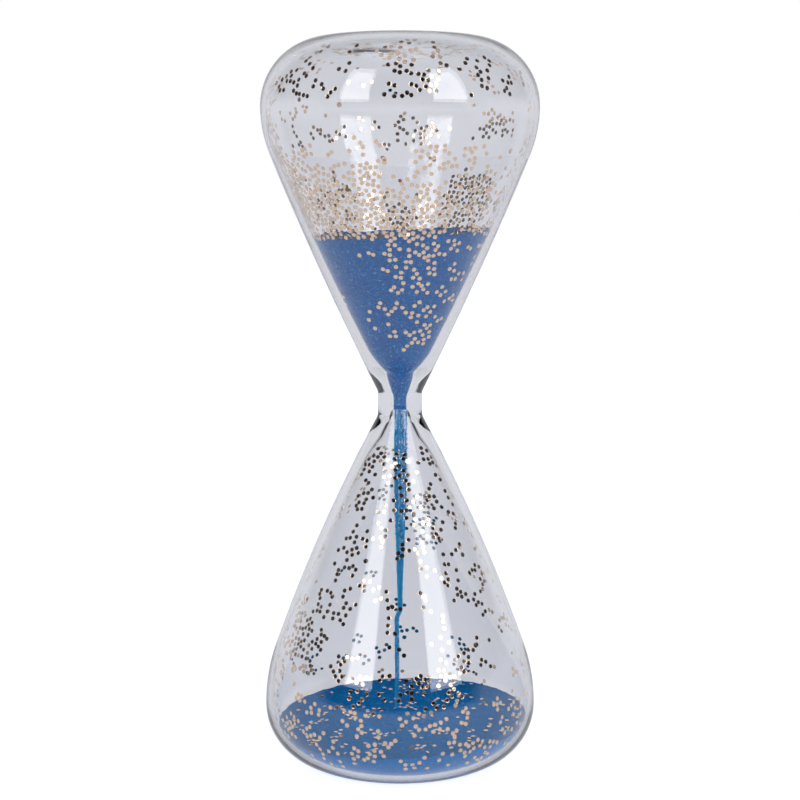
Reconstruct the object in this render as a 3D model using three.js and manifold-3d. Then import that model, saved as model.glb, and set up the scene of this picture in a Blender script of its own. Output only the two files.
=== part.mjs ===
// A frameless glass sand timer: two blown bulbs joined by a short heavy-walled neck, holding fine
// blue sand and gold glitter flakes. Millimetres, +Z up. The origin is the centre of the base.
import * as THREE from "three";
import { mergeVertices } from "three/addons/utils/BufferGeometryUtils.js";
import Module from "manifold-3d";

const wasm = await Module();
wasm.setup();

// Overall size
const HEIGHT = 160;
const BULB_DIAMETER = 60.6;

// Neck: a straight tube of heavy glass between the bulbs
const NECK_DIAMETER = 9.8;
const NECK_LENGTH = 4.1;
const NECK_ABOVE_MIDDLE = 0.55; // the lower bulb is slightly the taller
const BORE_DIAMETER = 3;
const THROAT_CURVE = 12; // radius of the curve that opens the bore into both chambers
const FUNNEL_SHOULDER = 26; // radius that turns that curve into the long side of a chamber

// Outside of each bulb, as radii of arcs that run tangent into each other from end to neck
const LOWER_CORNER = 12.5;
const LOWER_BELLY = 39.5;
const LOWER_SIDE = 370;
const LOWER_NECK_FILLET = 3;
const UPPER_CORNER = 14.8;
const UPPER_BELLY = 27.6;
const UPPER_SIDE = 770;
const UPPER_NECK_FILLET = 2;

// Glass thickness
const BELLY_WALL = 1;
const NECK_SIDE_WALL = 2.4; // the sides thicken to this where they come down to the neck
const END_WALL = 1.4;
const FOOT_RING_WIDTH = 3; // the flat ring each end stands on
const END_HOLLOW_DEPTH = 0.4; // how far the end is dished inside that ring

// Fill hole in the upper end and the glass that seals it
const FILL_HOLE_DIAMETER = 7;
const FILL_HOLE_OFFSET = 6; // from the axis, towards -X
const SEAL_DOME_HEIGHT = 1; // how far the seal bulges into the chamber

// Sand
const UPPER_SAND_DEPTH = 37.25; // above the throat's centre
const LOWER_SAND_DEPTH = 7.4; // above the floor of the lower bulb
const SAND_TILT = THREE.MathUtils.degToRad(2.3); // both surfaces rise towards +X
const CRATER_RADIUS = 13;
const CRATER_DEPTH = 6;
const MOUND_RADIUS = 11;
const MOUND_HEIGHT = 1.6;
const SAND_BELOW_NECK_CENTRE = 1.35; // the packed sand ends this far below the throat's centre
const STREAM_RADIUS = 0.55; // once it has drawn in

// Glitter: hexagonal foil flakes
const FLAKE_ACROSS_FLATS = 1;
const FLAKE_THICKNESS = 0.1;
const FLAKES_ON_UPPER_WALL = 15;
const FLAKES_ON_LOWER_WALL = 12;
const FLAKES_ON_LOWER_SAND = 15;

// Space left between pieces that are fused or that touch
const GAP = 0.3;

// Places that follow from the sizes above
const NECK_CENTRE_Z = HEIGHT / 2 + NECK_ABOVE_MIDDLE;
const UPPER_SAND_LEVEL = NECK_CENTRE_Z + UPPER_SAND_DEPTH;
const LOWER_SAND_LEVEL = END_WALL + LOWER_SAND_DEPTH;

const TURNS = 48; // facets round the axis
const ARC_STEP = THREE.MathUtils.degToRad(11);
const SIDE_STEPS = 4;

const glass = new THREE.MeshStandardMaterial({
  color: 0xeef1f4,
  roughness: 0.02,
  metalness: 0,
  transparent: true,
  opacity: 0.35,
});
const blueSand = new THREE.MeshStandardMaterial({ color: 0x1e64b4, roughness: 0.9, metalness: 0 });
const goldFoil = new THREE.MeshStandardMaterial({ color: 0xd8b887, roughness: 0.25, metalness: 1 });

const lowerBulb = {
  corner: LOWER_CORNER,
  belly: LOWER_BELLY,
  side: LOWER_SIDE,
  fillet: LOWER_NECK_FILLET,
  throat: NECK_CENTRE_Z,
};
const upperBulb = {
  corner: UPPER_CORNER,
  belly: UPPER_BELLY,
  side: UPPER_SIDE,
  fillet: UPPER_NECK_FILLET,
  throat: HEIGHT - NECK_CENTRE_Z,
};

// Turns a shape made on its end at z = 0 into the upper bulb's place.
const overTheNeck = new THREE.Matrix4().makeRotationX(Math.PI).setPosition(0, 0, HEIGHT);

// ---- outlines: points (radius, height above the bulb's own end) ----

// Points on an arc, from one angle to another, both ends included.
function arc(centre, radius, from, to, steps = Math.max(2, Math.ceil(Math.abs(to - from) / ARC_STEP))) {
  return Array.from({ length: steps + 1 }, (_, i) => {
    const angle = from + ((to - from) * i) / steps;
    return new THREE.Vector2(
      centre.x + radius * Math.cos(angle),
      centre.y + radius * Math.sin(angle),
    );
  });
}

// The point at distance ra from a and rb from b, on the left of the way from a to b.
function meet(a, ra, b, rb) {
  const way = b.clone().sub(a);
  const span = way.length();
  const along = (ra * ra - rb * rb + span * span) / (2 * span);
  const aside = Math.sqrt(ra * ra - along * along);
  const unit = way.divideScalar(span);
  return new THREE.Vector2(
    a.x + unit.x * along - unit.y * aside,
    a.y + unit.y * along + unit.x * aside,
  );
}

const angleFrom = (centre, point) => Math.atan2(point.y - centre.y, point.x - centre.x);

// Drops a point that repeats the one before it.
const joined = (...runs) =>
  runs.flat().filter((p, i, all) => i === 0 || p.distanceTo(all[i - 1]) > 0.001);

// Where the outside fillet of a bulb turns into the neck.
const filletCentre = (bulb) =>
  new THREE.Vector2(NECK_DIAMETER / 2 + bulb.fillet, bulb.throat - NECK_LENGTH / 2);

// Outside of a bulb, from the dished middle of its end to the face it shares with the neck.
function outside(bulb) {
  const footEdge = BULB_DIAMETER / 2 - bulb.corner;
  const dishEdge = footEdge - FOOT_RING_WIDTH;
  const dishRadius = (dishEdge ** 2 + END_HOLLOW_DEPTH ** 2) / (2 * END_HOLLOW_DEPTH);
  const dish = new THREE.Vector2(0, END_HOLLOW_DEPTH - dishRadius);
  const corner = new THREE.Vector2(footEdge, bulb.corner);
  const belly = new THREE.Vector2(BULB_DIAMETER / 2 - bulb.belly, bulb.corner);
  const fillet = filletCentre(bulb);
  const side = meet(belly, bulb.side - bulb.belly, fillet, bulb.side + bulb.fillet);
  const toBelly = angleFrom(side, belly);
  const toNeck = angleFrom(side, fillet);
  return joined(
    arc(dish, dishRadius, Math.PI / 2, angleFrom(dish, new THREE.Vector2(dishEdge, 0)), 3),
    arc(corner, bulb.corner, -Math.PI / 2, 0),
    arc(belly, bulb.belly, 0, toBelly),
    arc(side, bulb.side, toBelly, toNeck, SIDE_STEPS),
    arc(fillet, bulb.fillet, toNeck + Math.PI, Math.PI),
  );
}

// Inside of a bulb, from the middle of its floor to a height past or short of the throat's centre,
// drawn at a clearance inside the glass.
function inside(bulb, clearance, pastThroat) {
  const wall = BELLY_WALL + clearance;
  const radius = BULB_DIAMETER / 2 - wall;
  const cornerRadius = bulb.corner - wall;
  const bellyRadius = bulb.belly - wall;
  const equator = END_WALL + bulb.corner - BELLY_WALL;
  const corner = new THREE.Vector2(radius - cornerRadius, equator);
  const belly = new THREE.Vector2(radius - bellyRadius, equator);
  const fillet = filletCentre(bulb);
  const sideRadius = bulb.side - wall;
  const side = meet(
    belly,
    sideRadius - bellyRadius,
    fillet,
    sideRadius + bulb.fillet + NECK_SIDE_WALL + clearance,
  );
  const throat = new THREE.Vector2(BORE_DIAMETER / 2 + THROAT_CURVE, bulb.throat);
  const throatRadius = THROAT_CURVE + clearance;
  const shoulderRadius = FUNNEL_SHOULDER - clearance;
  const shoulder = meet(throat, throatRadius + shoulderRadius, side, sideRadius - shoulderRadius);
  const toBelly = angleFrom(side, belly);
  const toShoulder = angleFrom(side, shoulder);
  const toThroat = angleFrom(shoulder, throat);
  return joined(
    [new THREE.Vector2(0, END_WALL + clearance)],
    arc(corner, cornerRadius, -Math.PI / 2, 0),
    arc(belly, bellyRadius, 0, toBelly),
    arc(side, sideRadius, toBelly, toShoulder, SIDE_STEPS),
    arc(shoulder, shoulderRadius, toShoulder, toThroat),
    arc(throat, throatRadius, toThroat + Math.PI, Math.PI - Math.asin(pastThroat / throatRadius)),
  );
}

// ---- solids ----

// Revolves an outline about the Z axis.
const turned = (outline, turns = TURNS) =>
  new THREE.LatheGeometry(outline, turns).rotateX(Math.PI / 2);

function solidOf(geometry) {
  const bare = geometry.clone();
  bare.deleteAttribute("normal");
  bare.deleteAttribute("uv");
  const merged = mergeVertices(bare);
  return new wasm.Manifold(
    new wasm.Mesh({
      numProp: 3,
      vertProperties: merged.attributes.position.array,
      triVerts: new Uint32Array(merged.index.array),
    }),
  );
}

function geometryOf(solid) {
  const { vertProperties, triVerts } = solid.getMesh();
  const geometry = new THREE.BufferGeometry();
  geometry.setAttribute("position", new THREE.BufferAttribute(vertProperties, 3));
  geometry.setIndex(new THREE.BufferAttribute(triVerts, 1));
  geometry.computeVertexNormals();
  return geometry;
}

function piece(name, geometry, material) {
  const mesh = new THREE.Mesh(geometry, material);
  mesh.name = name;
  return mesh;
}

// A blown bulb, standing on its end, cut square at the neck.
function bulbGeometry(bulb) {
  return turned(joined(outside(bulb), inside(bulb, 0, -NECK_LENGTH / 2).reverse()));
}

// Sets a shape made about z = 0 on a sand surface, which is level along Y and rises towards +X.
const onSand = (geometry, level) => geometry.rotateY(-SAND_TILT).translate(0, 0, level);

// Everything above a sand surface.
function above(level) {
  const size = 2 * HEIGHT;
  const block = new THREE.BoxGeometry(size, size, size).translate(0, 0, size / 2);
  return solidOf(onSand(block, level));
}

// The lower bulb, with the closed end that the timer stands on
function lowerBulbPiece() {
  return piece("lower_bulb", bulbGeometry(lowerBulb), glass);
}

// The upper bulb, with the hole that the sand was poured in through
function upperBulbPiece() {
  const bulb = solidOf(bulbGeometry(upperBulb).applyMatrix4(overTheNeck));
  const drill = new THREE.CylinderGeometry(
    FILL_HOLE_DIAMETER / 2,
    FILL_HOLE_DIAMETER / 2,
    4 * END_WALL,
    TURNS / 2,
  );
  drill.rotateX(Math.PI / 2).translate(-FILL_HOLE_OFFSET, 0, HEIGHT);
  return piece("upper_bulb", geometryOf(bulb.subtract(solidOf(drill))), glass);
}

// The neck tube, fused to a bulb at each end; its bore is the throat that meters the sand
function neckPiece() {
  const reach = NECK_LENGTH / 2 - GAP;
  const radius = NECK_DIAMETER / 2;
  const centre = new THREE.Vector2(BORE_DIAMETER / 2 + THROAT_CURVE, 0);
  const half = Math.asin(reach / THROAT_CURVE);
  const bore = arc(centre, THROAT_CURVE, Math.PI - half, Math.PI + half, 4);
  const outline = [
    new THREE.Vector2(radius, -reach),
    new THREE.Vector2(radius, reach),
    ...bore,
    new THREE.Vector2(radius, -reach),
  ];
  const neck = piece("neck_tube", turned(outline), glass);
  neck.position.z = NECK_CENTRE_Z;
  return neck;
}

// The glass melted over the fill hole: a button, flush with the dished end, domed on the inside
function sealPiece() {
  const radius = FILL_HOLE_DIAMETER / 2 - GAP;
  const domeRadius = (radius ** 2 + SEAL_DOME_HEIGHT ** 2) / (2 * SEAL_DOME_HEIGHT);
  const centre = new THREE.Vector2(0, END_WALL + SEAL_DOME_HEIGHT - domeRadius);
  const rim = Math.atan2(END_WALL - centre.y, radius);
  const outline = joined(
    [new THREE.Vector2(0, END_HOLLOW_DEPTH), new THREE.Vector2(radius, END_HOLLOW_DEPTH)],
    arc(centre, domeRadius, rim, Math.PI / 2, 3),
  );
  const seal = piece("fill_hole_seal", turned(outline, TURNS / 2).applyMatrix4(overTheNeck), glass);
  seal.position.x = -FILL_HOLE_OFFSET;
  return seal;
}

// The sand still to run: it fills the funnel from the throat up, with a crater over the throat
function upperSandPiece() {
  const funnel = turned(joined(inside(upperBulb, GAP, SAND_BELOW_NECK_CENTRE), [
    new THREE.Vector2(0, upperBulb.throat + SAND_BELOW_NECK_CENTRE),
  ]));
  const crater = turned([
    new THREE.Vector2(0, -CRATER_DEPTH),
    new THREE.Vector2(CRATER_RADIUS, 0),
    new THREE.Vector2(CRATER_RADIUS, CRATER_DEPTH),
    new THREE.Vector2(0, CRATER_DEPTH),
  ]);
  const sand = solidOf(funnel.applyMatrix4(overTheNeck))
    .subtract(above(UPPER_SAND_LEVEL))
    .subtract(solidOf(onSand(crater, UPPER_SAND_LEVEL)));
  return piece("upper_sand", geometryOf(sand), blueSand);
}

// The sand that has run: a shallow bed with a low mound under the stream
function lowerSandPiece() {
  const chamber = turned(joined(inside(lowerBulb, GAP, -NECK_LENGTH), [
    new THREE.Vector2(0, lowerBulb.throat - NECK_LENGTH),
  ]));
  const mound = turned([
    new THREE.Vector2(0, -MOUND_HEIGHT),
    new THREE.Vector2(MOUND_RADIUS, -MOUND_HEIGHT),
    new THREE.Vector2(MOUND_RADIUS, 0),
    new THREE.Vector2(0, MOUND_HEIGHT),
  ]);
  const bed = solidOf(chamber)
    .subtract(above(LOWER_SAND_LEVEL))
    .add(solidOf(onSand(mound, LOWER_SAND_LEVEL)));
  return piece("lower_sand", geometryOf(bed), blueSand);
}

// The falling thread of sand: it leaves the throat at nearly the bore's width and draws in
function streamPiece() {
  const top = NECK_CENTRE_Z - SAND_BELOW_NECK_CENTRE - GAP;
  const bottom = LOWER_SAND_LEVEL + MOUND_HEIGHT + GAP;
  const topRadius = BORE_DIAMETER / 2 - GAP;
  const steps = 8;
  const thread = Array.from({ length: steps + 1 }, (_, i) => {
    const share = i / steps;
    return new THREE.Vector2(
      STREAM_RADIUS + (topRadius - STREAM_RADIUS) * share ** 2,
      bottom + (top - bottom) * share,
    );
  });
  const outline = [new THREE.Vector2(0, bottom), ...thread, new THREE.Vector2(0, top)];
  return piece("sand_stream", turned(outline, TURNS / 4), blueSand);
}

// ---- glitter ----

const flakeGeometry = new THREE.CylinderGeometry(
  FLAKE_ACROSS_FLATS / Math.sqrt(3),
  FLAKE_ACROSS_FLATS / Math.sqrt(3),
  FLAKE_THICKNESS,
  6,
).rotateX(Math.PI / 2);

// A small repeatable random number source, giving 0 to 1.
let seed = 12345;
function chance() {
  seed = (seed * 48271) % 2147483647;
  return seed / 2147483647;
}

// Radius and slope of a chamber's wall, at a clearance inside it and a height above its end.
function wallAt(outline, height) {
  const i = outline.findIndex((p, k) => k > 0 && p.y >= height && outline[k - 1].y <= height);
  const [a, b] = [outline[i - 1], outline[i]];
  const share = (height - a.y) / (b.y - a.y);
  return { radius: a.x + (b.x - a.x) * share, lean: Math.atan2(b.x - a.x, b.y - a.y) };
}

// Lays a flake at a place, with its face turned towards a direction.
function layFlake(flake, place, facing) {
  flake.position.copy(place);
  flake.quaternion.setFromUnitVectors(new THREE.Vector3(0, 0, 1), facing.normalize());
  return flake;
}

// A flake clinging to the inside of a bulb.
function flakeOnWall(flake, bulb, height) {
  const outline = inside(bulb, GAP + FLAKE_THICKNESS, -NECK_LENGTH);
  const { radius, lean } = wallAt(outline, height);
  const turn = 2 * Math.PI * chance();
  const place = new THREE.Vector3(radius * Math.cos(turn), radius * Math.sin(turn), height);
  const facing = new THREE.Vector3(Math.cos(turn), Math.sin(turn), -Math.tan(lean));
  return layFlake(flake, place, facing);
}

// A flake lying on the lower sand, between the mound and the glass.
function flakeOnSand(flake) {
  const wall = inside(lowerBulb, GAP + FLAKE_ACROSS_FLATS, -NECK_LENGTH);
  const reach = wallAt(wall, LOWER_SAND_LEVEL).radius;
  const start = MOUND_RADIUS + FLAKE_ACROSS_FLATS;
  const radius = Math.sqrt(start ** 2 + (reach ** 2 - start ** 2) * chance());
  const turn = 2 * Math.PI * chance();
  const x = radius * Math.cos(turn);
  const height = LOWER_SAND_LEVEL + x * Math.tan(SAND_TILT) + GAP + FLAKE_THICKNESS;
  const facing = new THREE.Vector3(-Math.sin(SAND_TILT), 0, Math.cos(SAND_TILT));
  return layFlake(flake, new THREE.Vector3(x, radius * Math.sin(turn), height), facing);
}

// Places flakes one by one, trying again wherever one would touch another.
function scatter(count, place) {
  const flakes = [];
  while (flakes.length < count) {
    const flake = place(piece("", flakeGeometry, goldFoil));
    const clear = flakes.every((f) => f.position.distanceTo(flake.position) > 2 * FLAKE_ACROSS_FLATS);
    if (clear) flakes.push(flake);
  }
  return flakes;
}

function glitter() {
  const sandTop = HEIGHT - UPPER_SAND_LEVEL - (BULB_DIAMETER / 2) * Math.tan(SAND_TILT);
  const upperFloor = END_WALL + UPPER_CORNER / 2;
  const lowerFloor = LOWER_SAND_LEVEL + LOWER_CORNER / 2;
  const lowerTop = lowerBulb.throat - 2 * NECK_LENGTH;
  const upper = new THREE.Group();
  upper.applyMatrix4(overTheNeck);
  upper.add(...scatter(FLAKES_ON_UPPER_WALL, (flake) =>
    flakeOnWall(flake, upperBulb, upperFloor + (sandTop - upperFloor) * Math.sqrt(chance()))));
  const lower = new THREE.Group();
  lower.add(...scatter(FLAKES_ON_LOWER_WALL, (flake) =>
    flakeOnWall(flake, lowerBulb, lowerFloor + (lowerTop - lowerFloor) * chance())));
  lower.add(...scatter(FLAKES_ON_LOWER_SAND, flakeOnSand));
  [...upper.children, ...lower.children].forEach((flake, i) => {
    flake.name = "glitter_flake_" + String(i + 1).padStart(2, "0");
  });
  return [upper, lower];
}

const timer = new THREE.Group();
timer.add(
  lowerBulbPiece(),
  neckPiece(),
  upperBulbPiece(),
  sealPiece(),
  upperSandPiece(),
  lowerSandPiece(),
  streamPiece(),
  ...glitter(),
);

export default timer;
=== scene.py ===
"""A frameless glass sand timer: two blown bulbs on a short heavy neck, with fine blue sand running
down and loose gold flakes."""

import math
import random

import bmesh
import bpy
from mathutils import Matrix, Vector, noise


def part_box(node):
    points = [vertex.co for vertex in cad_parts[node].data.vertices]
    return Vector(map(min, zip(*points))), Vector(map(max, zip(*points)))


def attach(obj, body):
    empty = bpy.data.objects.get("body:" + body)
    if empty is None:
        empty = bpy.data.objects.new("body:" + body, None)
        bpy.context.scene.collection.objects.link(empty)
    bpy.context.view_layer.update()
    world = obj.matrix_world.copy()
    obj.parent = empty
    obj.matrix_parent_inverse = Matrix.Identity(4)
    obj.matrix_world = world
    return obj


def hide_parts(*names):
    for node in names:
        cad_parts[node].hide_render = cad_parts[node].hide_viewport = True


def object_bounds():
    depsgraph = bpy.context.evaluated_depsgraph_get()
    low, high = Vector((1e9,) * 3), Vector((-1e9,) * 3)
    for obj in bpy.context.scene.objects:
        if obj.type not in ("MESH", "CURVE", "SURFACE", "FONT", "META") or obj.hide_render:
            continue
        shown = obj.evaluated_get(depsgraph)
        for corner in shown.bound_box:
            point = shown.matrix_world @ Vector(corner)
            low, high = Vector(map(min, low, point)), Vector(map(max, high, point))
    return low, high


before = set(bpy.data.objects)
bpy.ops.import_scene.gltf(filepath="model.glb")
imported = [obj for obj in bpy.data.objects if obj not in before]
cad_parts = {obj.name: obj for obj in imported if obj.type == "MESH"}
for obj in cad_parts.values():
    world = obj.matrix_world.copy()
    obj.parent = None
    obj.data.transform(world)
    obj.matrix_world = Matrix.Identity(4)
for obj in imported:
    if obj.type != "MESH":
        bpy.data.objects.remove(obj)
cad_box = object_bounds()

# ---- The glass vessel ----
# Two bulbs blown from clear tube and a short heavy-walled neck, fused into one vessel by flame.
# It stands on a flat ring round a slightly dished end, and the upper end has the fill hole.

mm = 0.001
height = cad_box[1].z
bulb_radius = cad_box[1].x
neck_low, neck_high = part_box("neck_tube")
neck_radius = neck_high.x
neck_centre = (neck_low.z + neck_high.z) / 2
neck_length = 4.1 * mm
bore_radius = 1.5 * mm
throat_curve = 12 * mm  # opens the bore into both chambers
funnel_shoulder = 26 * mm  # turns that curve into the long side of a chamber
belly_wall = 1 * mm
neck_side_wall = 2.4 * mm
end_wall = 1.4 * mm
foot_ring_width = 3 * mm
end_hollow = 0.4 * mm
top_hollow = 0.03 * mm  # the end with the fill hole is almost flat
fill_hole_radius = 3.5 * mm
fill_hole_x = -6 * mm
glass_turns = 144

# Radii of the arcs that run into each other from a bulb's end to the neck.
lower_bulb = {"corner": 12.5 * mm, "belly": 39.5 * mm, "side": 370 * mm, "fillet": 3 * mm}
upper_bulb = {"corner": 14.8 * mm, "belly": 27.6 * mm, "side": 770 * mm, "fillet": 2 * mm}
lower_bulb["throat"] = neck_centre
upper_bulb["throat"] = height - neck_centre


def meet(a, reach_a, b, reach_b):
    """The point at two distances from two centres, on the left of the way from a to b."""
    way = b - a
    along = (reach_a**2 - reach_b**2 + way.length_squared) / (2 * way.length)
    aside = math.sqrt(reach_a**2 - along**2)
    unit = way.normalized()
    return a + unit * along + Vector((-unit.y, unit.x)) * aside


def bearing(centre, point):
    return math.atan2(point.y - centre.y, point.x - centre.x)


def outside_arcs(bulb):
    """Centre, turn and steps of each arc of a bulb's outside, from its foot ring to the neck."""
    corner = Vector((bulb_radius - bulb["corner"], bulb["corner"]))
    belly = Vector((bulb_radius - bulb["belly"], bulb["corner"]))
    fillet = Vector((neck_radius + bulb["fillet"], bulb["throat"] - neck_length / 2))
    side = meet(belly, bulb["side"] - bulb["belly"], fillet, bulb["side"] + bulb["fillet"])
    to_belly, to_neck = bearing(side, belly), bearing(side, fillet)
    return [
        (corner, math.pi / 2, 20),
        (belly, to_belly, 12),
        (side, to_neck - to_belly, 12),
        (fillet, -to_neck, 12),
    ]


def inside_arcs(bulb):
    """The same for the inside, from the edge of the floor to the middle of the throat."""
    radius = bulb_radius - belly_wall
    corner_reach, belly_reach = bulb["corner"] - belly_wall, bulb["belly"] - belly_wall
    side_reach = bulb["side"] - belly_wall
    equator = end_wall + corner_reach
    corner = Vector((radius - corner_reach, equator))
    belly = Vector((radius - belly_reach, equator))
    fillet = Vector((neck_radius + bulb["fillet"], bulb["throat"] - neck_length / 2))
    side = meet(
        belly, side_reach - belly_reach, fillet, side_reach + bulb["fillet"] + neck_side_wall
    )
    throat = Vector((bore_radius + throat_curve, bulb["throat"]))
    shoulder = meet(throat, throat_curve + funnel_shoulder, side, side_reach - funnel_shoulder)
    to_belly, to_shoulder = bearing(side, belly), bearing(side, shoulder)
    to_throat = bearing(shoulder, throat)
    return [
        (corner, math.pi / 2, 20),
        (belly, to_belly, 12),
        (side, to_shoulder - to_belly, 12),
        (shoulder, to_throat - to_shoulder, 12),
        (throat, -to_throat, 14),
    ]


def begin_outline(name, radius, z):
    """Starts an outline as one point in the XZ plane, in edit mode."""
    bpy.ops.object.select_all(action="DESELECT")
    bpy.ops.mesh.primitive_plane_add(size=mm)
    bpy.context.object.name = name
    bpy.ops.object.mode_set(mode="EDIT")
    bpy.ops.mesh.select_mode(type="VERT")
    bpy.ops.mesh.merge(type="CENTER")
    bpy.ops.transform.translate(value=(radius, 0, z))
    return bpy.context.object


def draw_line(across, up, steps=1):
    for _ in range(steps):
        bpy.ops.mesh.extrude_region_move(
            TRANSFORM_OT_translate={"value": (across / steps, 0, up / steps)}
        )


def draw_arc(centre, turn, steps):
    bpy.ops.mesh.spin(steps=steps, angle=turn, center=(centre[0], 0, centre[1]), axis=(0, 1, 0))


def draw_bulb_up(arcs):
    for centre, turn, steps in arcs:
        draw_arc(centre, turn, steps)


def draw_bulb_down(arcs):
    """From the neck to the end of the upper bulb, so its arcs come mirrored and last first."""
    for centre, turn, steps in reversed(arcs):
        draw_arc((centre.x, height - centre.y), turn, steps)


def turn_round(turns):
    """Revolves the outline in edit mode into a skin that faces outwards."""
    bpy.ops.mesh.select_all(action="SELECT")
    bpy.ops.mesh.spin(steps=turns, angle=2 * math.pi, center=(0, 0, 0), axis=(0, 0, 1))
    bpy.ops.mesh.select_all(action="SELECT")
    bpy.ops.mesh.remove_doubles(threshold=0.001 * mm)
    bpy.ops.mesh.normals_make_consistent(inside=False)


def dish_depth(radius, edge, hollow):
    """How far an end is hollowed inside its foot ring."""
    return hollow * (0.5 + 0.5 * math.cos(math.pi * min(1.0, radius / edge)))


foot_edge = bulb_radius - lower_bulb["corner"]
dish_edge = foot_edge - foot_ring_width
outer_skin = begin_outline("outer_skin", 0, 0)
draw_line(dish_edge, 0, 12)
draw_line(foot_ring_width, 0, 3)
draw_bulb_up(outside_arcs(lower_bulb))
draw_line(0, neck_length, 3)
draw_bulb_down(outside_arcs(upper_bulb))
draw_line(-foot_ring_width, 0, 3)
turn_round(glass_turns)
bpy.ops.object.mode_set(mode="OBJECT")
for v in outer_skin.data.vertices:
    if v.co.z < 0.001 * mm:
        v.co.z += dish_depth(v.co.xy.length, dish_edge, end_hollow)

glass_vessel = begin_outline("glass_vessel", 0, end_wall)
draw_line(foot_edge, 0, 3)
draw_bulb_up(inside_arcs(lower_bulb))
draw_bulb_down(inside_arcs(upper_bulb))
bpy.ops.object.mode_set(mode="OBJECT")
inside_line = sorted((v.co.z, v.co.x) for v in glass_vessel.data.vertices)
bpy.ops.object.mode_set(mode="EDIT")
turn_round(glass_turns)
bpy.ops.object.mode_set(mode="OBJECT")
outer_skin.select_set(True)
bpy.ops.object.join()


def pick(obj, wanted):
    """Selects, in edit mode, just the edges whose middle is where wanted says."""
    bpy.ops.mesh.select_all(action="DESELECT")
    bpy.ops.mesh.select_mode(type="EDGE")
    mesh = bmesh.from_edit_mesh(obj.data)
    for edge in mesh.edges:
        edge.select = all(wanted(v.co) for v in edge.verts)
    mesh.select_flush(True)
    bmesh.update_edit_mesh(obj.data)


# The fill hole: each skin's open end closes in to a circle, and a short wall joins the circles.
top_foot_edge = bulb_radius - upper_bulb["corner"]
top_dish_edge = top_foot_edge - foot_ring_width
bpy.ops.object.mode_set(mode="EDIT")
rim_aside = 1 * mm  # the new circles are made this far from their skin, then moved onto it
for rim, level, edge_radius in (
    (height + rim_aside, height, top_dish_edge),
    (height - end_wall - rim_aside, height - end_wall, top_foot_edge),
):
    bpy.ops.mesh.select_all(action="DESELECT")
    bpy.ops.mesh.primitive_circle_add(
        vertices=glass_turns, radius=fill_hole_radius, location=(fill_hole_x, 0, rim)
    )
    pick(
        glass_vessel,
        lambda p: abs(p.z - rim) < 0.01 * mm
        or (abs(p.z - level) < 0.01 * mm and abs(math.hypot(p.x, p.y) - edge_radius) < 0.01 * mm),
    )
    bpy.ops.mesh.bridge_edge_loops(number_cuts=5, interpolation="LINEAR")
shaped = bmesh.from_edit_mesh(glass_vessel.data)
for v in shaped.verts:
    radius = v.co.xy.length
    if v.co.z > height + 0.01 * mm:
        v.co.z = height - dish_depth(radius, top_dish_edge, top_hollow)
    elif -1.1 * rim_aside < v.co.z - (height - end_wall) < 0 and radius < top_foot_edge - 0.01 * mm:
        v.co.z = height - end_wall
bmesh.update_edit_mesh(glass_vessel.data)


def on_hole_rim(p):
    return abs(math.hypot(p.x - fill_hole_x, p.y) - fill_hole_radius) < 0.005 * mm


pick(glass_vessel, on_hole_rim)
bpy.ops.mesh.bridge_edge_loops(number_cuts=1, interpolation="LINEAR")
bpy.ops.mesh.select_all(action="SELECT")
bpy.ops.mesh.remove_doubles(threshold=0.001 * mm)
bpy.ops.mesh.normals_make_consistent(inside=False)
pick(
    glass_vessel,
    lambda p: on_hole_rim(p)
    and (p.z > height - top_hollow - 0.01 * mm or p.z < height - end_wall + 0.01 * mm),
)
hole_rounding = 0.3 * mm
bpy.ops.mesh.bevel(offset=hole_rounding, segments=4, affect="EDGES")
bpy.ops.object.mode_set(mode="OBJECT")
bpy.ops.object.shade_smooth()


class Value:
    """One output of a finish's node. Sums on it add Math nodes."""

    def __init__(self, finish, socket):
        self.finish, self.socket = finish, socket

    def maths(self, operation, a, b=0.0):
        return self.finish.node("ShaderNodeMath", {"operation": operation}, {0: a, 1: b})

    def __add__(self, other):
        return self.maths("ADD", self, other)

    __radd__ = __add__

    def __mul__(self, other):
        return self.maths("MULTIPLY", self, other)

    def __gt__(self, other):
        return self.maths("GREATER_THAN", self, other)


class Finish:
    """A material, or the world, whose nodes are added one after another."""

    def __init__(self, owner):
        owner.use_nodes = True
        self.owner, self.tree = owner, owner.node_tree

    def node(self, kind, settings=(), sockets=(), output=0):
        made = self.tree.nodes.new(kind)
        for name, value in dict(settings).items():
            setattr(made, name, value)
        self.feed(made, sockets)
        return Value(self, made.outputs[output])

    def feed(self, made, sockets):
        for name, value in dict(sockets).items():
            if isinstance(value, Value):
                self.tree.links.new(value.socket, made.inputs[name])
            elif isinstance(value, tuple) and len(value) == 3 and made.inputs[name].type == "RGBA":
                made.inputs[name].default_value = (*value, 1)
            else:
                made.inputs[name].default_value = value

    def place(self):
        return self.node("ShaderNodeTexCoord", output="Object")

    def mottle(self, size, detail=2.0, seed=(0, 0, 0), stretch=(1, 1, 1)):
        """Noise from 0 to 1 with spots about size across, in metres."""
        moved = self.node(
            "ShaderNodeMapping", {}, {"Vector": self.place(), "Location": seed, "Scale": stretch}
        )
        return self.node(
            "ShaderNodeTexNoise", {}, {"Vector": moved, "Scale": 1 / size, "Detail": detail}
        )

    def bump(self, rise, depth, strength=1.0):
        return self.node(
            "ShaderNodeBump", {}, {"Height": rise, "Distance": depth, "Strength": strength}
        )

    def blend(self, share, first, second):
        """From the first colour to the second as share goes from 0 to 1."""
        return self.node(
            "ShaderNodeMix", {"data_type": "RGBA"}, {0: share, 6: first, 7: second}, output=2
        )


def new_finish(name):
    return Finish(bpy.data.materials.new(name))


def principled(finish, **sockets):
    shader = finish.tree.nodes["Principled BSDF"]
    finish.feed(shader, {name.replace("_", " "): value for name, value in sockets.items()})


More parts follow.
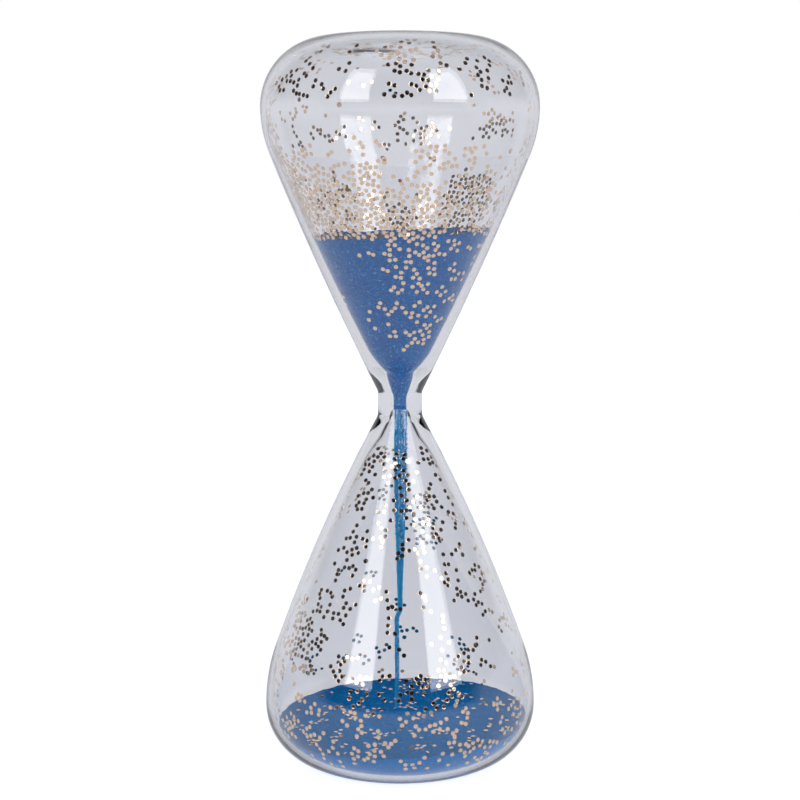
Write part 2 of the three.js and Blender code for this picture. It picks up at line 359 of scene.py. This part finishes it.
def give(obj, finish):
    obj.data.materials.clear()
    obj.data.materials.append(finish.owner)


clear_glass = new_finish("clear_glass")
slow_waves = clear_glass.mottle(14 * mm, 1.0)
drawn_lines = clear_glass.mottle(5 * mm, 1.0, (3, 1, 0), (1, 1, 0.2))
principled(
    clear_glass,
    Base_Color=(0.97, 0.973, 0.99),
    Roughness=clear_glass.mottle(9 * mm, 3.0, (7, 2, 5)) * 0.012,
    IOR=1.5,
    Transmission_Weight=1.0,
    Normal=clear_glass.bump(slow_waves * 0.8 + drawn_lines * 0.2, 0.05 * mm, 0.5),
)
give(glass_vessel, clear_glass)
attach(glass_vessel, "root")
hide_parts("lower_bulb", "neck_tube", "upper_bulb")

# ---- The seal of the fill hole ----
# A plug of glass melted into the hole after filling, with a lip spread over its inner edge.
# It is almost flush outside and a low dome inside.

seal_clearance = 0.03 * mm
seal_lip_radius = 4.3 * mm
seal_lip_rounding = 0.135 * mm
dome_drop = 1 * mm  # how far the dome hangs below the ceiling
dome_height = 0.7 * mm
crown_height = 0.3 * mm
ceiling = height - end_wall
seal = begin_outline("seal_plug", 0, ceiling - dome_drop)
dome_reach = (seal_lip_radius**2 + dome_height**2) / (2 * dome_height)
dome_turn = math.asin(seal_lip_radius / dome_reach)
draw_arc((0, ceiling - dome_drop + dome_reach), dome_turn, 8)
draw_arc((seal_lip_radius, ceiling - seal_clearance - seal_lip_rounding), math.pi * 0.95, 6)
bpy.ops.object.mode_set(mode="OBJECT")
last = max(seal.data.vertices, key=lambda v: v.index).co.copy()
bpy.ops.object.mode_set(mode="EDIT")
plug_radius = fill_hole_radius - seal_clearance
draw_line(plug_radius - last.x, ceiling - seal_clearance - last.z)
plug_top = height - top_hollow - 0.2 * mm
draw_line(0, plug_top - 0.1 * mm - (ceiling - seal_clearance), 2)
crown_reach = (plug_radius**2 + crown_height**2) / (2 * crown_height)
draw_arc((0, plug_top + 0.2 * mm - crown_reach), math.asin(plug_radius / crown_reach), 8)
turn_round(72)
bpy.ops.transform.translate(value=(fill_hole_x, 0, 0))
bpy.ops.object.mode_set(mode="OBJECT")
bpy.ops.object.shade_smooth_by_angle(angle=math.radians(35))
give(seal, clear_glass)
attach(seal, "root")
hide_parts("fill_hole_seal")

# ---- The sand still to run ----
# Fine dyed sand that fills the funnel from the throat up, against the glass. It has a crater over
# the throat, and its top rises a little to one side.

sand_turns = 240
sand_clearance = 0.12 * mm
sand_tilt = math.tan(math.radians(2.3))
crater_radius = 13 * mm
crater_depth = 6 * mm
upper_level = neck_centre + 37.25 * mm
sand_foot = neck_centre - 1.35 * mm


def wall_radius(z):
    """The inside radius of the glass at a height."""
    for (low_z, low_r), (high_z, high_r) in zip(inside_line, inside_line[1:]):
        if low_z <= z <= high_z and high_z > low_z:
            return low_r + (high_r - low_r) * (z - low_z) / (high_z - low_z)
    return inside_line[-1][1]


def smooth_step(low, high, value):
    t = min(1.0, max(0.0, (value - low) / (high - low)))
    return t * t * (3 - 2 * t)


def rough(p, size, seed=0.0):
    """Steady noise from about -1 to 1."""
    return noise.noise(Vector((p[0] / size + seed, p[1] / size, p[2] / size - seed)))


def upper_top(x, y):
    """The height of the upper sand's surface."""
    radius = math.hypot(x, y)
    crater = crater_depth * max(0.0, 1 - radius / crater_radius)
    crater += 0.5 * mm * math.exp(-((radius / crater_radius - 1) ** 2) * 18)
    ripple = 0.28 * rough((x, y, 0), 3.2 * mm) + 0.12 * rough((x, y, 0), 0.9 * mm, 5)
    return upper_level + sand_tilt * x - crater + ripple * mm


def sand_body(name, foot, level, top, floor_steps, wall_steps, top_steps):
    """A body of sand against the glass: a turned block whose skin is pressed out to the wall and
    whose top is pressed to its surface."""
    body = begin_outline(name, 0, foot)
    draw_line(1 * mm, 0, floor_steps)
    draw_line(0, level - foot, wall_steps)
    draw_line(-1 * mm, 0, top_steps)
    turn_round(sand_turns)
    bpy.ops.object.mode_set(mode="OBJECT")
    for v in body.data.vertices:
        share = v.co.xy.length / mm
        around = v.co.xy.normalized()
        edge_z = level
        for _ in range(3):
            edge = wall_radius(edge_z) - sand_clearance
            edge_z = top(around.x * edge, around.y * edge)
        if abs(v.co.z - foot) < 0.001 * mm:
            reach = (wall_radius(foot + sand_clearance) - sand_clearance) * share
            v.co = (around.x * reach, around.y * reach, foot)
        elif share > 0.999:
            rise = (v.co.z - foot) / (level - foot)
            z = foot + (edge_z - foot) * rise
            reach = wall_radius(z) - sand_clearance
            v.co = (around.x * reach, around.y * reach, z)
        else:
            reach = edge * share
            v.co = (around.x * reach, around.y * reach, top(around.x * reach, around.y * reach))
    bpy.ops.object.shade_smooth_by_angle(angle=math.radians(60))
    return body


upper_sand = sand_body("upper_sand_fill", sand_foot, upper_level, upper_top, 1, 60, 40)

blue_sand = new_finish("blue_sand")
grains = blue_sand.mottle(0.3 * mm, 2.0)
patches = blue_sand.mottle(5 * mm, 3.0, (2, 9, 4))
pale_grains = blue_sand.mottle(0.34 * mm, 1.0, (11, 3, 8)) > 0.60
dark_grains = blue_sand.mottle(0.34 * mm, 1.0, (4, 13, 1)) > 0.60
sand_colour = blue_sand.blend(grains, (0.0, 0.10, 0.37), (0.0, 0.24, 0.79))
sand_colour = blue_sand.blend(patches * 0.3, sand_colour, (0.0, 0.17, 0.60))
sand_colour = blue_sand.blend(dark_grains * 0.45, sand_colour, (0.0, 0.03, 0.20))
sand_colour = blue_sand.blend(pale_grains * 0.5, sand_colour, (0.02, 0.45, 1.0))
# Painted light: from 60 mm down, and fully below 20 mm, the sand's colour is blended towards a
# paler blue, so the bed in the lower bulb looks more brightly lit.
low_in_glass = blue_sand.node(
    "ShaderNodeSeparateXYZ", {}, {"Vector": blue_sand.place()}, output="Z"
)
painted_light_low = blue_sand.node(
    "ShaderNodeMapRange", {}, {"Value": low_in_glass, "From Min": 60 * mm, "From Max": 20 * mm}
)
sand_colour = blue_sand.blend(painted_light_low * 0.65, sand_colour, (0.0, 0.36, 1.0))
# Painted highlights: sparse whitish specks blended into the sand's colour stand for glints of light
# on the grains.
painted_glints = blue_sand.mottle(0.4 * mm, 0.0, (6, 1, 15)) > 0.74
sand_colour = blue_sand.blend(painted_glints * 0.6, sand_colour, (0.35, 0.68, 0.95))
principled(
    blue_sand,
    Base_Color=sand_colour,
    Roughness=0.95,
    Specular_IOR_Level=0.08,
    Normal=blue_sand.bump(grains, 0.14 * mm, 0.8),
)
give(upper_sand, blue_sand)
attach(upper_sand, "root")
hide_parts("upper_sand")

# ---- The sand that has run ----
# The same sand in a shallow bed on the floor of the lower bulb, with a low mound under the stream.

lower_level = end_wall + 7.4 * mm
mound_radius = 11 * mm
mound_height = 1.6 * mm


def lower_top(x, y):
    radius = math.hypot(x, y)
    mound = mound_height * max(0.0, 1 - radius / mound_radius) ** 1.2
    ripple = 0.25 * rough((x, y, 0), 3.5 * mm, 3) + 0.12 * rough((x, y, 0), 0.9 * mm, 8)
    return lower_level + sand_tilt * x + mound + ripple * mm


lower_sand = sand_body(
    "lower_sand_bed", end_wall + sand_clearance, lower_level, lower_top, 12, 16, 60
)
give(lower_sand, blue_sand)
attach(lower_sand, "root")
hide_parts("lower_sand")

# ---- The stream ----
# Sand falling from the throat to the mound: a few denser strands in a loose veil of single grains.
# It leaves at almost the bore's width and draws in as it gathers speed.

falling_sand = new_finish("falling_sand")
fall_mottle = falling_sand.mottle(0.3 * mm, 2.0)
principled(
    falling_sand,
    Base_Color=falling_sand.blend(fall_mottle, (0.0, 0.45, 1.0), (0.10, 0.70, 1.0)),
    Roughness=0.85,
    Specular_IOR_Level=0.3,
    Normal=falling_sand.bump(fall_mottle, 0.1 * mm, 0.6),
)
stream_top = neck_centre - 1.5 * mm
stream_foot = lower_top(0, 0)
stream_turns = 10
stream_steps = 110


def stream_path(z):
    """Where the middle of the stream is at a height: it drifts a little low down."""
    x = 0.08 * mm * math.sin(z / (9 * mm)) + 0.1 * mm
    x -= 0.8 * mm * (1 - smooth_step(31.5 * mm, 34 * mm, z))
    return Vector((x, 0.1 * mm * math.sin(z / (6 * mm)), z))


def stream_radius(z):
    return (0.52 + 0.98 * smooth_step(34 * mm, 64 * mm, z)) * mm


chance = random.Random(4)
strands = []
# Where each strand runs across the stream and how thick it is, from left to right.
for across, thick in ((-0.84, 0.27), (-0.5, 0.16), (0.0, 0.09), (0.42, 0.09), (0.86, 0.14)):
    deep = chance.uniform(-0.5, 0.5)
    bpy.ops.object.select_all(action="DESELECT")
    bpy.ops.mesh.primitive_circle_add(
        vertices=stream_turns, radius=thick * mm, fill_type="NGON", location=(0, 0, stream_top)
    )
    made = bpy.context.object
    bpy.ops.object.transform_apply(location=True, rotation=False, scale=False)
    bpy.ops.object.mode_set(mode="EDIT")
    bpy.ops.mesh.select_all(action="SELECT")
    draw_line(0, stream_foot - stream_top, stream_steps)
    bpy.ops.mesh.select_all(action="SELECT")
    bpy.ops.mesh.normals_make_consistent(inside=False)
    bpy.ops.object.mode_set(mode="OBJECT")
    for v in made.data.vertices:
        z = v.co.z
        sway = 0.16 * rough((across * 20 * mm, 0, z), 7 * mm)
        swell = 1 + 0.4 * rough((across * 30 * mm, 1, z), 1.5 * mm)
        swell *= 0.35 + 0.65 * smooth_step(24 * mm, 40 * mm, z)
        middle = stream_path(z) + Vector((across + sway, deep, 0)) * stream_radius(z) * 0.85
        v.co = (middle.x + v.co.x * swell, middle.y + v.co.y * swell, z)
    strands.append(made)
for made in strands:
    made.select_set(True)
bpy.context.view_layer.objects.active = strands[0]
bpy.ops.object.join()
stream = bpy.context.object
stream.name = "sand_stream_strands"
bpy.ops.object.shade_smooth()
give(stream, falling_sand)
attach(stream, "root")
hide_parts("sand_stream")


def merged_copies(name, model, places):
    """One piece made of a copy of the model at each place."""
    together = bmesh.new()
    for place in places:
        copy = model.data.copy()
        copy.transform(place)
        together.from_mesh(copy)
        bpy.data.meshes.remove(copy)
    mesh = bpy.data.meshes.new(name)
    together.to_mesh(mesh)
    together.free()
    piece = bpy.data.objects.new(name, mesh)
    bpy.context.scene.collection.objects.link(piece)
    return piece


bpy.ops.object.select_all(action="DESELECT")
bpy.ops.mesh.primitive_ico_sphere_add(subdivisions=1, radius=0.11 * mm)
grain = bpy.context.object
grain_count = 8200
grain_places = []
for _ in range(grain_count):
    z = stream_foot + (stream_top - stream_foot) * chance.random() ** 0.7
    spread = stream_radius(z) * math.sqrt(chance.random())
    spread = min(spread, wall_radius(z) - 0.25 * mm)
    angle = chance.uniform(0, 2 * math.pi)
    middle = stream_path(z) + Vector((math.cos(angle), math.sin(angle), 0)) * spread
    size = chance.uniform(0.45, 1.0)
    turn = Matrix.Rotation(chance.uniform(0, 6.28), 4, Vector((1, chance.random(), 0.5)))
    grain_places.append(
        Matrix.Translation(middle) @ turn @ Matrix.Diagonal((size, size, size * 1.6, 1))
    )
veil = merged_copies("falling_grains", grain, grain_places)
bpy.data.objects.remove(grain)
give(veil, falling_sand)
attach(veil, "root")

# ---- The gold flakes ----
# Hexagons just under a millimetre across, punched from gold foil. They cling to the inside of the
# glass in short chains and clusters, get caught between sand and glass, and lie on the sand.

flake_radius = 0.515 * mm
flake_thickness = 0.05 * mm
bpy.ops.object.select_all(action="DESELECT")
bpy.ops.mesh.primitive_cylinder_add(vertices=6, radius=flake_radius, depth=flake_thickness)
flake = bpy.context.object
bpy.ops.object.mode_set(mode="EDIT")
bpy.ops.mesh.select_mode(type="FACE")
bpy.ops.mesh.select_all(action="DESELECT")
flake_mesh = bmesh.from_edit_mesh(flake.data)
for face in flake_mesh.faces:
    face.select = len(face.verts) == 6
bmesh.update_edit_mesh(flake.data)
bpy.ops.mesh.inset(thickness=0.08 * mm, depth=-0.012 * mm, use_individual=True)
bpy.ops.object.mode_set(mode="OBJECT")

gold_foil = new_finish("gold_foil")
foil_shade = gold_foil.mottle(1.3 * mm, 1.0, (5, 5, 1))
principled(
    gold_foil,
    Base_Color=gold_foil.blend(foil_shade, (0.74, 0.53, 0.36), (0.93, 0.74, 0.54)),
    Metallic=1.0,
    Roughness=0.06 + foil_shade * 0.08,
    Normal=gold_foil.bump(gold_foil.mottle(0.35 * mm, 2.0), 0.02 * mm, 0.35),
)
for name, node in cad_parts.items():
    if name.startswith("glitter_flake"):
        node.data.materials.clear()
        node.data.materials.append(gold_foil.owner)

wall_gap = 0.06 * mm
wall_spacing = 0.93 * mm  # the least distance between two flakes' middles on the glass
sand_spacing = 1.02 * mm
edge_spacing = 0.8 * mm
ring_spacing = 1.0 * mm
tries_per_flake = 12
cell_size = 1.2 * mm
taken = {}  # the flakes' middles so far, by the cell they are in


def free(point, apart):
    """True, and the place is taken, if no other flake's middle is this near."""
    cell = tuple(int(c // cell_size) for c in point)
    for dx in (-1, 0, 1):
        for dy in (-1, 0, 1):
            for dz in (-1, 0, 1):
                for other in taken.get((cell[0] + dx, cell[1] + dy, cell[2] + dz), ()):
                    if (other - point).length < apart:
                        return False
    taken.setdefault(cell, []).append(point)
    return True


def lay(point, normal, tilt):
    """Where a flake goes whose face looks along normal, turned and tipped by chance."""
    wobble = Vector((chance.gauss(0, tilt), chance.gauss(0, tilt), chance.gauss(0, tilt)))
    facing = (normal + wobble).normalized().to_track_quat("Z", "Y").to_matrix().to_4x4()
    return Matrix.Translation(point) @ facing @ Matrix.Rotation(chance.uniform(0, 1.05), 4, "Z")


def on_wall(azimuth, z, inset=wall_gap):
    """A point and the outward direction on the inside of the glass. Azimuth 0 is the front and
    90 the right, in degrees."""
    step = 0.3 * mm
    slope = (wall_radius(z + step) - wall_radius(z - step)) / (2 * step)
    a = math.radians(azimuth)
    out = Vector((math.sin(a), -math.cos(a), -slope)).normalized()
    radius = wall_radius(z)
    return Vector((math.sin(a) * radius, -math.cos(a) * radius, z)) - out * inset, out


def strew_wall(count, azimuths, heights, cluster=3.0, even=1.0, tilt=0.035, keep=None):
    """Chains and clusters of flakes on the wall. Each chain starts at a chance place between two
    azimuths and two heights; cluster is how many flakes it has on average, and an even above 1
    makes them denser low down."""
    places, azimuth, z = [], 0, 0
    for _ in range(count * tries_per_flake):
        if len(places) >= count:
            break
        if not places or chance.random() < 1 / cluster:
            azimuth = chance.uniform(*azimuths)
            z = heights[0] + (heights[1] - heights[0]) * chance.random() ** even
        else:
            way, step = chance.uniform(0, 2 * math.pi), chance.uniform(0.95, 1.6) * mm
            azimuth += math.degrees(math.cos(way) * step / wall_radius(z))
            z += math.sin(way) * step
        inside = heights[0] - 1 * mm < z < heights[1] + 1 * mm
        if not (inside and azimuths[0] - 4 < azimuth < azimuths[1] + 4):
            continue
        if keep and not keep(azimuth, z):
            continue
        point, out = on_wall(azimuth, z)
        if free(point, wall_spacing):
            places.append(lay(point, out, tilt))
    return places


def flake_piece(name, places):
    piece = merged_copies(name, flake, places)
    give(piece, gold_foil)
    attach(piece, "root")


def strew(*groups, keep=None):
    """Several strewn groups, each a count, two azimuths in degrees, two heights in millimetres, a
    cluster size and, for a group that is denser low down, an even."""
    places = []
    for count, azimuths, (low, high), cluster, *lower in groups:
        even = lower[0] if lower else 1.0
        places += strew_wall(count, azimuths, (low * mm, high * mm), cluster, even, keep=keep)
    return places


# High on the upper bulb: chains and small clusters, mostly at the front.
flake_piece(
    "flakes_upper_high",
    strew(
        (22, (-6, 5), (150, 156.5), 4),
        (16, (3, 13), (146, 152), 3),
        (18, (-64, -46), (145.5, 151), 5),
        (12, (-50, -34), (146, 155), 2),
        (12, (33, 46), (146.5, 153), 3),
        (10, (45, 72), (146, 152), 2),
        (34, (116, 140), (140.5, 145), 6),
        (28, (165, 184), (139, 145), 4),
        (20, (200, 250), (139, 146), 3),
        (34, (-45, 30), (145.5, 155), 1.3),
        (20, (168, 230), (138, 144), 1.6),
        (26, (80, 280), (146, 156), 2.5),
        (60, (-104, -74), (134, 152), 3),
        (26, (74, 100), (134, 152), 2),
        (10, (-42, 0), (131, 138), 1.5),
    ),
)
# A dense drift just above the sand, thickest at the left.
flake_piece(
    "flakes_upper_band",
    strew(
        (20, (10, 23), (132, 135.5), 5),
        (14, (28, 44), (130.5, 135.5), 4),
        (150, (-82, -44), (118.3, 136), 7, 2.2),
        (150, (-60, -12), (118.3, 132), 8, 2.0),
        (90, (-80, -34), (121, 130), 9),
        (130, (-104, -72), (119, 141), 3, 1.5),
        (95, (-15, 24), (118.3, 128), 6, 2.2),
        (50, (20, 66), (118.3, 128), 4, 2.0),
        (60, (124, 148), (124.5, 129), 14),
        (56, (118, 158), (118.6, 124.5), 8),
        (44, (164, 192), (118.2, 123), 8, 1.5),
        (70, (195, 252), (118.2, 130), 5, 2.5),
        (56, (62, 104), (119, 139), 2.5, 1.5),
        (24, (-80, 60), (127, 135), 1.8),
        (24, (160, 260), (124, 138), 2.5),
    ),
)


def in_upper_sand(azimuth, z):
    a = math.radians(azimuth)
    radius = wall_radius(z)
    return z < upper_top(math.sin(a) * radius, -math.cos(a) * radius) - 0.6 * mm


# Caught between the upper sand and the glass.
flake_piece(
    "flakes_in_upper_sand",
    strew(
        (66, (-9, 42), (106.3, 116.4), 6),
        (46, (-17, 40), (93.5, 107), 4),
        (18, (40, 75), (100, 116), 2.5),
        (14, (-80, -12), (95, 115), 1.3),
        (90, (95, 265), (93, 116), 3.5),
        keep=in_upper_sand,
    ),
)


def strew_flat(count, surface, reach, cluster, tilt, lift, clear_of=None):
    """Clusters of flakes on a surface that looks up, given as a height over x and y."""
    places, x, y = [], 0, 0
    for _ in range(count * tries_per_flake):
        if len(places) >= count:
            break
        if not places or chance.random() < 1 / cluster:
            angle, radius = chance.uniform(0, 2 * math.pi), reach * math.sqrt(chance.random())
            x, y = radius * math.cos(angle), radius * math.sin(angle)
        else:
            way, step = chance.uniform(0, 2 * math.pi), chance.uniform(1.04, 1.6) * mm
            x, y = x + math.cos(way) * step, y + math.sin(way) * step
        if math.hypot(x, y) > reach or (clear_of and clear_of(x, y)):
            continue
        point = Vector((x, y, surface(x, y) + lift))
        across = Vector((0.4 * mm, 0, surface(x + 0.4 * mm, y) - surface(x, y)))
        along = Vector((0, 0.4 * mm, surface(x, y + 0.4 * mm) - surface(x, y)))
        if free(point, sand_spacing):
            places.append(lay(point, across.cross(along).normalized(), tilt))
    return places


# On the upper sand, and in a row where its edge meets the glass.
edge_tries = 90
edge_places = []
for _ in range(edge_tries):
    azimuth = chance.choice((chance.uniform(-90, 0), chance.gauss(0, 6), chance.uniform(-180, 180)))
    a = math.radians(azimuth)
    radius = wall_radius(upper_level) - chance.uniform(0.55, 1.1) * mm
    x, y = math.sin(a) * radius, -math.cos(a) * radius
    point = Vector((x, y, upper_top(x, y) + chance.uniform(0.1, 0.5) * mm))
    if free(point, edge_spacing):
        edge_places.append(lay(point, Vector((math.sin(a), -math.cos(a), 0.5)), 0.35))
flake_piece(
    "flakes_on_upper_sand",
    strew_flat(110, upper_top, wall_radius(upper_level) - 1.8 * mm, 3, 0.12, 0.07 * mm)
    + edge_places,
)


def ceiling_height(x, y):
    return ceiling - wall_gap


def over_seal(x, y):
    return math.hypot(x - fill_hole_x, y) < 5.6 * mm


# On the ceiling, and a ring caught round the lip of the seal.
ring_flakes = 25
seal_ring = []
for step in range(ring_flakes):
    a = 2 * math.pi * (step + chance.uniform(-0.25, 0.25)) / ring_flakes
    reach = chance.uniform(4.95, 5.2) * mm
    point = Vector((fill_hole_x + math.cos(a) * reach, math.sin(a) * reach, ceiling - 0.1 * mm))
    if free(point, ring_spacing):
        seal_ring.append(lay(point, Vector((0, 0, 1)), 0.12))
flake_piece(
    "flakes_ceiling",
    strew_flat(90, ceiling_height, 15 * mm, 2.5, 0.05, 0, over_seal)
    + strew_wall(60, (-180, 180), (155.5 * mm, 157.6 * mm), 2)
    + seal_ring,
)

# On the lower bulb's walls: groups near the middle, a dense drift low at the left.
flake_piece(
    "flakes_lower_wall",
    strew(
        (26, (-75, -28), (63, 71), 2.5),
        (16, (28, 62), (60, 71), 3),
        (34, (-8, 10), (48, 71), 3.5),
        (22, (-26, -8), (50, 70), 2),
        (20, (11, 28), (46, 66), 2),
        (34, (-50, -27), (46, 62), 3),
        (40, (28, 58), (39, 62), 3),
        (110, (-84, -44), (21, 38), 6),
        (30, (-50, -26), (24, 46), 3),
        (12, (-26, -8), (32, 48), 1.5),
        (12, (11, 27), (30, 46), 1.5),
        (34, (28, 62), (24, 46), 3),
        (26, (-8, 10), (21, 44), 3),
        (30, (-30, -8), (18, 29), 5),
        (30, (11, 30), (18, 29), 5),
        (38, (148, 166), (44, 58), 7),
        (70, (100, 260), (26, 70), 3),
        (50, (60, 102), (18, 62), 2.5),
        (50, (-102, -66), (24, 66), 2.5),
    ),
)
# Low down, in front of the sand's surface and between the bed and the glass.
flake_piece(
    "flakes_lower_foot",
    strew(
        (84, (-45, 40), (8, 18), 3),
        (40, (-50, 50), (4.5, 12), 2),
        (50, (-95, -45), (6, 22), 4),
        (40, (45, 95), (6, 20), 3),
        (110, (95, 265), (5, 22), 3),
    ),
)
flake_piece(
    "flakes_on_lower_sand",
    strew_flat(190, lower_top, wall_radius(lower_level) - 1 * mm, 1.8, 0.12, 0.07 * mm),
)
bpy.data.objects.remove(flake)

# ---- Table, light and camera ----
# A pale table with no edge, a white backdrop behind it and a dark room in front, two tall
# softboxes at the front corners, and the camera a little above the middle.

table_size = 16
table_gap = 0.02 * mm
bpy.ops.object.select_all(action="DESELECT")
bpy.ops.mesh.primitive_plane_add(size=table_size, location=(0, 0, -table_gap))
table = bpy.context.object
table.name = "table"
bpy.ops.object.transform_apply(location=True, rotation=False, scale=False)
table_top = new_finish("table_top")
seen_directly = table_top.node("ShaderNodeLightPath", output="Is Camera Ray")
from_middle = table_top.node(
    "ShaderNodeVectorMath", {"operation": "LENGTH"}, {0: table_top.place()}, output="Value"
)
far = table_top.node(
    "ShaderNodeMapRange",
    {"interpolation_type": "SMOOTHSTEP"},
    {"Value": from_middle, "From Min": 0.1, "From Max": 1.2, "To Min": 0.0, "To Max": 1.0},
)
cloudy = table_top.mottle(0.4, 2.0)
principled(
    table_top,
    Base_Color=table_top.blend(cloudy, (0.55, 0.55, 0.55), (0.57, 0.57, 0.57)),
    Roughness=0.6,
    Specular_IOR_Level=0.1,
    Emission_Color=(0.97, 0.985, 1.06),
    Emission_Strength=0.44 + far * 0.07 + seen_directly * 0.45,
)
table.data.materials.append(table_top.owner)

softbox_distance = 0.9
softbox_height = 1.0
softbox_foot = 0.225
softbox_brightness = 3.7
# Each softbox's azimuth from the front, in degrees, and its width.
for azimuth, width in ((-36.5, 0.38), (41, 0.46)):
    a = math.radians(azimuth)
    bpy.ops.object.light_add(
        type="AREA",
        location=(
            math.sin(a) * softbox_distance,
            -math.cos(a) * softbox_distance,
            softbox_foot + softbox_height / 2,
        ),
        rotation=(math.radians(90), 0, a),
    )
    softbox = bpy.context.object.data
    softbox.shape, softbox.size, softbox.size_y = "RECTANGLE", width, softbox_height
    softbox.energy = softbox_brightness * math.pi * width * softbox_height

world = bpy.data.worlds.new("studio")
bpy.context.scene.world = world
studio = Finish(world)
direction = studio.node("ShaderNodeTexCoord", output="Generated")
backward = studio.node("ShaderNodeSeparateXYZ", {}, {"Vector": direction}, output="Y")
upward = Value(studio, backward.socket.node.outputs["Z"])


def fade(value, start, end, first=0.0, last=1.0):
    """From first to last as the value goes from start to end."""
    return studio.node(
        "ShaderNodeMapRange",
        {"interpolation_type": "SMOOTHSTEP"},
        {"Value": value, "From Min": start, "From Max": end, "To Min": first, "To Max": last},
    )


def brighter(first, second):
    return studio.node("ShaderNodeMath", {"operation": "MAXIMUM"}, {0: first, 1: second})


# Light walls low down at the sides, a wide backdrop behind and, with a hard edge, a lit patch of
# ceiling.
walls = fade(backward, -0.5, -0.2) * fade(upward, 0.06, 0.22, 1.0, 0.04)
backdrop = fade(backward, 0.5, 0.75)
ceiling_patch = fade(upward, 0.93, 0.99)
lit = brighter(brighter(walls, backdrop), ceiling_patch * 3.2)
room = studio.blend(lit, (0.012, 0.012, 0.013), (0.71, 0.715, 0.755))
shown_directly = studio.node("ShaderNodeLightPath", output="Is Camera Ray")
studio.feed(
    world.node_tree.nodes["Background"],
    {"Color": studio.blend(shown_directly, room, (1.0, 1.0, 1.0)), "Strength": 1.0},
)
bpy.context.scene.view_settings.view_transform = "Standard"

camera_back = 0.3646
camera_up = 0.12694
camera_down_tilt = 7.17
bpy.ops.object.camera_add(
    location=(0, -camera_back, camera_up), rotation=(math.radians(90 - camera_down_tilt), 0, 0)
)
camera = bpy.context.object
camera.data.sensor_width = 36
camera.data.lens = 74.5
bpy.context.scene.camera = camera
